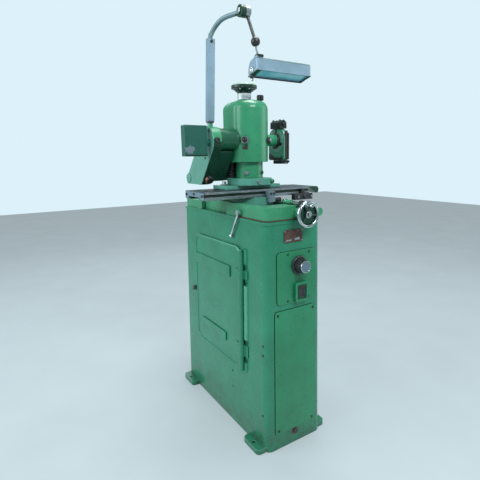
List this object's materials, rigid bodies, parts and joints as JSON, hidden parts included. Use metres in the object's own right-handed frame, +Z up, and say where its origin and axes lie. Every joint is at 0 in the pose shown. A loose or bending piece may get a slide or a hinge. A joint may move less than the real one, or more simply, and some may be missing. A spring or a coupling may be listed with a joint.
{
  "type": "cutter grinder",
  "caption": "floor-standing cutter grinder: tapered cabinet with door and switches, bed with cross slide, long table, swivelling spindle head with belt drive, guards and jointed work lamp",
  "frame": {"origin": "on the floor under the middle of the cabinet", "axes": "+X to the operator's right, +Y to the back, +Z up"},
  "size_m": [0.6343, 0.8488, 1.7505],
  "materials": {
    "cabinet_enamel": "semi-gloss enamel",
    "machine_enamel": "semi-gloss enamel",
    "pale_enamel": "semi-gloss enamel",
    "black_paint": "satin",
    "black_knob": "gloss",
    "dark_steel": "oiled",
    "bright_steel": "ground",
    "bright_chrome": "polished",
    "ground_iron": "ground",
    "brown_plate": "aged",
    "abrasive": "vitrified abrasive",
    "belt_rubber": "matte",
    "lamp_enamel": "semi-gloss grey",
    "lamp_glass": "frosted"
  },
  "bodies": {
    "stand": {"cabinet": "cabinet_enamel", "hinge_upper": "machine_enamel", "hinge_lower": "machine_enamel", "switch_panel": "cabinet_enamel", "switch_bezel": "pale_enamel", "name_plate": "brown_plate", "lower_cover": "cabinet_enamel", "drain_plug": "brown_plate", "switchgear_box": "black_paint", "bed_casting": "machine_enamel"},
    "door_leaf": {"door": "cabinet_enamel", "door_strip_upper": "pale_enamel", "door_strip_lower": "pale_enamel"},
    "latch": {"door_latch": "dark_steel"},
    "dial": {"rotary_switch": "black_knob"},
    "rocker": {"rocker_key": "black_knob"},
    "bed_lever": {"bed_clamp_lever": "bright_chrome"},
    "cross_carriage": {"cross_slide": "ground_iron"},
    "feed_wheel": {"front_handwheel": "bright_chrome", "feed_screw": "bright_steel"},
    "crank": {"crank_handle": "bright_steel"},
    "swivel_table": {"turntable": "machine_enamel"},
    "long_table": {"table": "ground_iron", "table_end_cap": "machine_enamel", "stop_dog": "bright_steel", "end_stop": "dark_steel", "head_base": "machine_enamel", "clamp_nut_left": "bright_steel", "clamp_nut_right": "bright_steel"},
    "dog_screw": {"stop_screw": "dark_steel"},
    "depth_stop": {"stop_spindle": "dark_steel"},
    "head_swivel": {"head_flange": "machine_enamel", "column": "machine_enamel", "dust_tube": "black_paint"},
    "head": {"head_housing": "machine_enamel", "spindle_barrel": "pale_enamel", "wheel_guard": "machine_enamel", "dresser_block": "black_paint", "rest_bracket": "black_paint", "belt_guard": "machine_enamel", "belt_guard_lid": "machine_enamel", "motor": "black_paint", "drive_belt": "belt_rubber", "lamp_supply_box": "machine_enamel"},
    "lift_wheel": {"lift_handwheel": "black_paint"},
    "spinner": {"lift_spinner": "bright_chrome"},
    "lock": {"locking_knob": "black_knob"},
    "sight": {"sight_knob": "black_knob"},
    "tension": {"tension_knob": "black_knob"},
    "wheel_spindle": {"spindle": "bright_steel", "spindle_pulley": "bright_steel", "grinding_wheel": "abrasive"},
    "motor_rotor": {"motor_shaft": "bright_steel", "motor_pulley": "bright_steel"},
    "post": {"lamp_post": "lamp_enamel"},
    "arm": {"lamp_arm": "bright_steel"},
    "drop": {"lamp_drop": "black_paint"},
    "lamp": {"lamp_shell": "lamp_enamel", "lamp_pane": "lamp_glass", "lamp_tube": "lamp_glass"}
  },
  "joints": [
    {"name": "door_hinge", "type": "hinge", "parent": "stand", "child": "door_leaf", "pos_m": [-0.1575, -0.208, 0], "axis": [0.0106, 0, 0.9999], "range_deg": [0, 110]},
    {"name": "latch_turn", "type": "hinge", "parent": "stand", "child": "latch", "pos_m": [-0.13969, 0.254, 0.549], "axis": [0.9999, 0, -0.0106], "range_deg": [0, 90]},
    {"name": "rotary_turn", "type": "hinge", "parent": "stand", "child": "dial", "pos_m": [0.018, -0.37518, 0.781], "axis": [0, -0.9998, 0.0188], "range_deg": [0, 90]},
    {"name": "rocker_tilt", "type": "hinge", "parent": "stand", "child": "rocker", "pos_m": [0.0215, -0.38617, 0.67717], "axis": [1, 0, 0], "range_deg": [-7, 7]},
    {"name": "bed_lever_turn", "type": "hinge", "parent": "stand", "child": "bed_lever", "pos_m": [-0.14, -0.19, 0.983], "axis": [1, 0, 0], "range_deg": [-25, 25]},
    {"name": "cross_slide_travel", "type": "slide", "parent": "stand", "child": "cross_carriage", "axis": [0, 1, 0], "range_m": [-0.04, 0.04]},
    {"name": "feed_wheel_turn", "type": "hinge", "parent": "stand", "child": "feed_wheel", "pos_m": [0.022, -0.42, 0.987], "axis": [0, 1, 0], "range_deg": [-2900, 2900]},
    {"name": "crank_spin", "type": "hinge", "parent": "feed_wheel", "child": "crank", "pos_m": [0.00702, -0.44, 1.02409], "axis": [0, 1, 0], "continuous": true},
    {"name": "table_swivel", "type": "hinge", "parent": "cross_carriage", "child": "swivel_table", "pos_m": [0, -0.061, 1], "axis": [0, 0, 1], "range_deg": [-10, 10]},
    {"name": "table_travel", "type": "slide", "parent": "swivel_table", "child": "long_table", "axis": [1, 0, 0], "range_m": [-0.08, 0.08]},
    {"name": "dog_screw_turn", "type": "hinge", "parent": "long_table", "child": "dog_screw", "pos_m": [0.06, -0.1688, 1.022], "axis": [1, 0, 0], "range_deg": [-360, 360]},
    {"name": "depth_stop_turn", "type": "hinge", "parent": "stand", "child": "depth_stop", "pos_m": [0.022, -0.28, 1.024], "axis": [0, 1, 0], "range_deg": [-180, 180]},
    {"name": "head_swivel_turn", "type": "hinge", "parent": "long_table", "child": "head_swivel", "pos_m": [0, -0.05, 1.09], "axis": [0, 0, 1], "range_deg": [-45, 45]},
    {"name": "head_lift", "type": "slide", "parent": "head_swivel", "child": "head", "axis": [0, 0, 1], "range_m": [0, 0.04]},
    {"name": "lift_wheel_turn", "type": "hinge", "parent": "head", "child": "lift_wheel", "pos_m": [0, -0.015, 1.48], "axis": [0, 0, 1], "range_deg": [0, 2900]},
    {"name": "spinner_spin", "type": "hinge", "parent": "lift_wheel", "child": "spinner", "pos_m": [0.045, -0.015, 1.52], "axis": [0, 0, 1], "continuous": true},
    {"name": "lock_turn", "type": "hinge", "parent": "head", "child": "lock", "pos_m": [0.057, -0.055, 1.45], "axis": [0, 0, 1], "range_deg": [-180, 180]},
    {"name": "sight_turn", "type": "hinge", "parent": "head", "child": "sight", "pos_m": [-0.05688, -0.10817, 1.272], "axis": [-0.6691, -0.7431, 0], "range_deg": [-180, 180]},
    {"name": "tension_turn", "type": "hinge", "parent": "head", "child": "tension", "pos_m": [-0.171, 0.00958, 1.112], "axis": [0, 0.7821, 0.6231], "range_deg": [-180, 180]},
    {"name": "spindle_spin", "type": "hinge", "parent": "head", "child": "wheel_spindle", "pos_m": [0, -0.045, 1.275], "axis": [1, 0, 0], "continuous": true},
    {"name": "motor_spin", "type": "hinge", "parent": "head", "child": "motor_rotor", "pos_m": [0, 0.098, 1.148], "axis": [1, 0, 0], "continuous": true},
    {"name": "post_turn", "type": "hinge", "parent": "head", "child": "post", "pos_m": [-0.185, -0.045, 1.4], "axis": [0, 0, 1], "range_deg": [-60, 8]},
    {"name": "arm_turn", "type": "hinge", "parent": "post", "child": "arm", "pos_m": [-0.171, -0.045, 1.66], "axis": [0, 0, 1], "range_deg": [-45, 5]},
    {"name": "drop_tilt", "type": "hinge", "parent": "arm", "child": "drop", "pos_m": [-0.105, -0.19, 1.729], "axis": [1, 0, 0], "range_deg": [-40, 10]},
    {"name": "lamp_tilt", "type": "hinge", "parent": "drop", "child": "lamp", "pos_m": [-0.1, -0.258, 1.611], "axis": [1, 0, 0], "range_deg": [-14, 14]}
  ],
  "couplings": [
    {"joint": "feed_wheel_turn", "follows": "cross_slide_travel", "rad_per_m": 1256.6},
    {"joint": "lift_wheel_turn", "follows": "head_lift", "rad_per_m": 1256.6},
    {"joint": "motor_spin", "follows": "spindle_spin", "ratio": 0.72}
  ]
}
